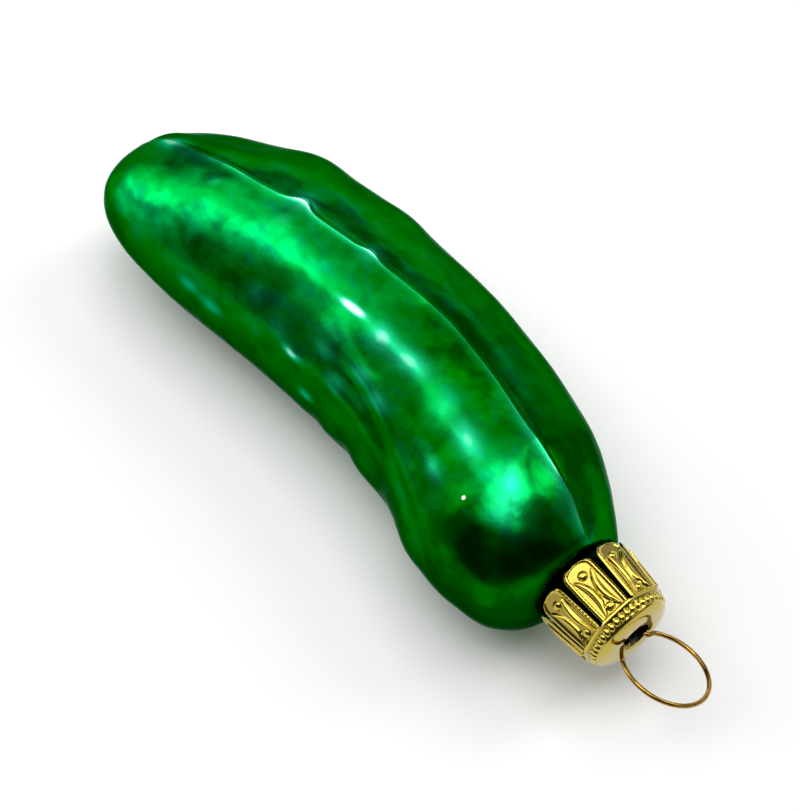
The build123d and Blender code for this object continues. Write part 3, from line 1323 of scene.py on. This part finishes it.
        # Painted shade: hollows and plain sheet darker, raised pattern full gold, the top nearly so
        polish = np.clip(self.plain_shine + pattern / self.full_shine_rise, 0, 1)
        polish = np.where(x < self.ring_top, polish, self.top_shine)
        angle = side / self.foot_radius
        flat = self.petal_flatness * ramp(x, self.ring_foot, self.petal_foot)
        radius = line[:, 1:] * (1 + flat * (1 / np.cos(angle) - 1)) + out_r * pattern
        at = np.broadcast_to(x + out_x * pattern, radius.shape)
        lift = self.petal_spring * ramp(x, self.petal_foot, self.tip) ** 2
        spring = np.random.default_rng(self.spring_seed).uniform(-1, 1, (self.petals, 2))
        parts = []
        for number, (outward, twist) in enumerate(spring):
            sprung = radius + lift * (outward + twist * share)
            turn = angle + math.radians(self.petal_angle) + number * 2 * math.pi / self.petals
            petal = np.stack([at, sprung * np.cos(turn), sprung * np.sin(turn)], -1)
            parts.append(grid_object("crown_cap_sheet", place.to_frame(petal), False))
            store(parts[-1], "relief", polish)
        with bpy.context.temp_override(active_object=parts[0], selected_editable_objects=parts):
            bpy.ops.object.join()
        cap = parts[0]
        weld(cap, self.join_gap * MM)
        thick = cap.modifiers.new("sheet thickness", "SOLIDIFY")
        thick.thickness = self.sheet * MM
        thick.offset = -1.0
        with bpy.context.temp_override(object=cap, active_object=cap):
            bpy.ops.object.modifier_apply(modifier=thick.name)
        stand_for(cap, Body.CAP)
        return cap

    def dress(self, cap: bpy.types.Object) -> None:
        """Give the cap its brass."""
        cap.data.materials.append(self.finish.material())


@dataclass
class WireHanger:
    """The sprung wire: a loop on two feet that lie on the cap, and two legs that grip inside the neck."""

    wire_radius: float = 0.33
    loop_radius: float = 6.3
    corner_radius: float = 1.0
    foot_run: float = 0.5
    hole_clearance: float = 0.15
    leg_length: float = 15.0
    leg_clearance: float = 0.3
    roll: float = -29.0
    end_round: tuple[float, ...] = (0.0, 0.75, 1.0)
    sides: int = 20
    spacing: float = 0.12
    finish: DrawnWire = field(default_factory=DrawnWire)

    def arc(self, centre: Span, radius: float, start: float, end: float) -> np.ndarray:
        """Points of an arc; angle 0 points into the neck and angles grow away from the axis.

        Args:
            centre: The arc's middle, along the axis and across it.
            radius: The arc's radius.
            start: Angle of the first point, in radians.
            end: Angle of the last point, in radians.

        Returns:
            Points along the axis and across it.
        """
        count = max(4, round(abs(end - start) * radius / self.spacing))
        turn = np.linspace(start, end, count)
        return np.stack([centre[0] - radius * np.cos(turn), centre[1] + radius * np.sin(turn)], -1)

    def path(self, cap: CrownCap, bore: float) -> np.ndarray:
        """Centre line of the wire, from one leg's end to the other's.

        Args:
            cap: The cap that the wire hangs in.
            bore: Inner radius of the neck.

        Returns:
            Points along the axis and across it.
        """
        bend = cap.sheet / 2 + self.hole_clearance + self.wire_radius
        rim = (cap.top - cap.sheet / 2, cap.hole_radius + cap.sheet / 2)
        leg_end = bore - self.leg_clearance - self.wire_radius
        splay = math.asin((leg_end - rim[1] + bend) / self.leg_length)
        foot_x = rim[0] + bend
        corner = (foot_x + self.corner_radius, rim[1] + self.foot_run)
        reach = self.loop_radius - self.corner_radius
        lean = math.asin(corner[1] / reach)
        loop = (corner[0] + reach * math.cos(lean), 0.0)
        over_rim = self.arc(rim, bend, splay - math.pi / 2, -math.pi)
        away = np.linspace(self.leg_length, 0, round(self.leg_length / self.spacing))[:-1]
        leg = over_rim[0] + away[:, None] * np.array((-math.cos(splay), math.sin(splay)))
        risen = self.arc(corner, self.corner_radius, 0.0, lean)
        crown = self.arc(loop, self.loop_radius, lean, math.pi)[1:]
        half = np.concatenate([leg, over_rim, risen, crown])
        return np.concatenate([half, (half * (1, -1))[-2::-1]])

    def build(self, place: NeckPlace, cap: CrownCap, bore: float) -> bpy.types.Object:
        """Make the wire as a round tube with melted-round ends.

        Args:
            place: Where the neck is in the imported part.
            cap: The cap that the wire hangs in.
            bore: Inner radius of the neck.

        Returns:
            The hanger.
        """
        line = self.path(cap, bore)
        ways = np.gradient(line, axis=0)
        ways /= np.linalg.norm(ways, axis=1, keepdims=True)
        shaft = np.ones(len(line) - 2 * len(self.end_round))
        radii = np.concatenate([self.end_round, shaft, self.end_round[::-1]]) * self.wire_radius
        turn = np.linspace(0, 2 * math.pi, self.sides, endpoint=False)
        across = radii[:, None] * np.cos(turn)
        off_plane = radii[:, None] * np.sin(turn)
        x = line[:, :1] - ways[:, 1:] * across
        y = line[:, 1:] + ways[:, :1] * across
        roll = math.radians(self.roll)
        y_out = y * math.cos(roll) - off_plane * math.sin(roll)
        z_out = y * math.sin(roll) + off_plane * math.cos(roll)
        hanger = grid_object("hanger_wire_loop", place.to_frame(np.stack([x, y_out, z_out], -1)), True)
        weld(hanger)
        stand_for(hanger, Body.HANGER)
        return hanger

    def dress(self, hanger: bpy.types.Object) -> None:
        """Give the hanger its drawn brass."""
        hanger.data.materials.append(self.finish.material())


# The studio


@dataclass(frozen=True)
class Softbox:
    """A soft rectangular lamp.

    Its place, aim and sizes are in metres, its width lies along the direction across, and a brightness
    of 1 is white.
    """

    name: str
    place: Place
    width: float
    depth: float
    brightness: float
    aim: Place = (0.0, 0.0, 0.015)
    across: Place = (1.0, 0.0, 0.0)

    def build(self) -> bpy.types.Object:
        """Make the lamp, facing its aim.

        Returns:
            The lamp.
        """
        lamp = bpy.data.lights.new(self.name, "AREA")
        lamp.shape = "RECTANGLE"
        lamp.size, lamp.size_y = self.width, self.depth
        lamp.energy = self.brightness * math.pi * self.width * self.depth
        made = bpy.data.objects.new(self.name, lamp)
        back = (Vector(self.place) - Vector(self.aim)).normalized()
        side = Vector(self.across)
        side = (side - side.project(back)).normalized()
        turn = Matrix((side, back.cross(side), back)).transposed()
        made.matrix_world = Matrix.Translation(self.place) @ turn.to_4x4()
        bpy.context.scene.collection.objects.link(made)
        return made


@dataclass
class Studio:
    """Pale table, soft lamps, dim surroundings and the photograph's camera."""

    # The table and the light, in metres
    floor_size: float = 6.0
    surroundings: str = "#444444"
    surroundings_strength: float = 1.0
    lamps: tuple[Softbox, ...] = (
        Softbox("ceiling_panel", (0.04, 0.18, 1.9), 1.08, 1.35, 3.9, aim=(0.04, 0.18, 0.0)),
        Softbox("ceiling_front", (-0.3, -0.84, 1.9), 1.0, 0.83, 2.7, aim=(-0.3, -0.84, 0.0)),
        Softbox("ceiling_back", (0.42, 1.45, 1.45), 0.65, 0.8, 5.0),
        Softbox("ceiling_back_left", (-0.75, 0.8, 1.75), 0.9, 1.0, 1.0),
        Softbox("ceiling_side", (-1.15, -0.3, 1.7), 0.95, 1.1, 1.6),
        Softbox("tall_window", (-1.35, -0.95, 1.05), 0.5, 1.5, 2.0, across=(-0.61, 0.79, 0.0)),
        Softbox("side_wall", (-1.9, -1.0, 0.9), 1.5, 1.1, 1.1, across=(-0.47, 0.88, 0.0)),
        Softbox("end_wall", (-2.44, -0.06, 0.56), 2.4, 1.05, 0.8, across=(0.0, 1.0, 0.0)),
        Softbox("back_wall", (-1.53, 1.89, 0.59), 1.6, 1.15, 1.2, across=(0.78, 0.63, 0.0)),
        Softbox("back_wall_right", (0.2, 2.4, 0.6), 1.8, 1.1, 0.6),
        Softbox("right_fill", (1.7, 1.1, 1.0), 1.5, 1.2, 0.6, across=(-0.54, 0.84, 0.0)),
        Softbox("front_wall", (-1.49, -1.95, 0.45), 1.4, 0.85, 0.5, across=(0.8, -0.6, 0.0)),
        Softbox("front_high", (-1.0, -1.5, 1.2), 1.0, 0.7, 0.6, across=(0.8, -0.6, 0.0)),
    )
    # The camera, with its focal length in the photograph's pixels
    target_mm: Place = (-1.75, -3.08, 14.3)
    azimuth: float = 50.31
    elevation: float = 59.5
    distance_mm: float = 380.0
    focal_px: float = 2751.3
    image_height_px: float = 811.0
    sensor_mm: float = 36.0
    nearest_mm: float = 10.0
    board: MattBoard = field(default_factory=MattBoard)

    def build(self) -> None:
        """Make the table, the lamps, the surroundings and the camera."""
        half = self.floor_size / 2
        corners = np.array([[(x, y, 0.0) for x in (-half, half)] for y in (-half, half)])
        table = grid_object("table", corners, False)
        table.data.materials.append(self.board.material())
        for lamp in self.lamps:
            lamp.build()
        world = bpy.data.worlds.new("dim surroundings")
        world.use_nodes = True
        world.node_tree.nodes.clear()
        glow = add_node(
            world.node_tree,
            "ShaderNodeBackground",
            {"Color": linear(self.surroundings), "Strength": self.surroundings_strength},
        )
        add_node(world.node_tree, "ShaderNodeOutputWorld", {"Surface": glow.outputs[0]})
        bpy.context.scene.world = world
        self.camera()
        bpy.context.scene.view_settings.view_transform = "Standard"

    def camera(self) -> None:
        """Place the camera at the photograph's angle and distance."""
        lens = bpy.data.cameras.new("camera")
        lens.sensor_width = self.sensor_mm
        lens.lens = self.focal_px * self.sensor_mm / self.image_height_px
        lens.clip_start = self.nearest_mm * MM
        made = bpy.data.objects.new("camera", lens)
        turn, rise = math.radians(self.azimuth), math.radians(self.elevation)
        back = Vector((math.sin(turn) * math.cos(rise), -math.cos(turn) * math.cos(rise), math.sin(rise)))
        made.location = (Vector(self.target_mm) + back * self.distance_mm) * MM
        made.rotation_euler = (-back).to_track_quat("-Z", "Y").to_euler()
        bpy.context.scene.collection.objects.link(made)
        bpy.context.scene.camera = made


def main() -> None:
    """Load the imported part, dress its pieces and light them."""
    logging.basicConfig(level=logging.INFO, format="%(name)s: %(message)s")
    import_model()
    pickle, cap, hanger = GlassPickle(), CrownCap(), WireHanger()
    place = NeckPlace.from_frame(pickle.length)
    shell = pickle.build(place)
    pickle.dress(shell, place)
    LOG.info("%s: %d points", shell.name, len(shell.data.vertices))
    crown = cap.build(place)
    cap.dress(crown)
    LOG.info("%s: %d points", crown.name, len(crown.data.vertices))
    loop = hanger.build(place, cap, pickle.bore)
    hanger.dress(loop)
    LOG.info("%s: %d points", loop.name, len(loop.data.vertices))
    Studio().build()
    bpy.context.view_layer.update()


if __name__ == "__main__":
    main()
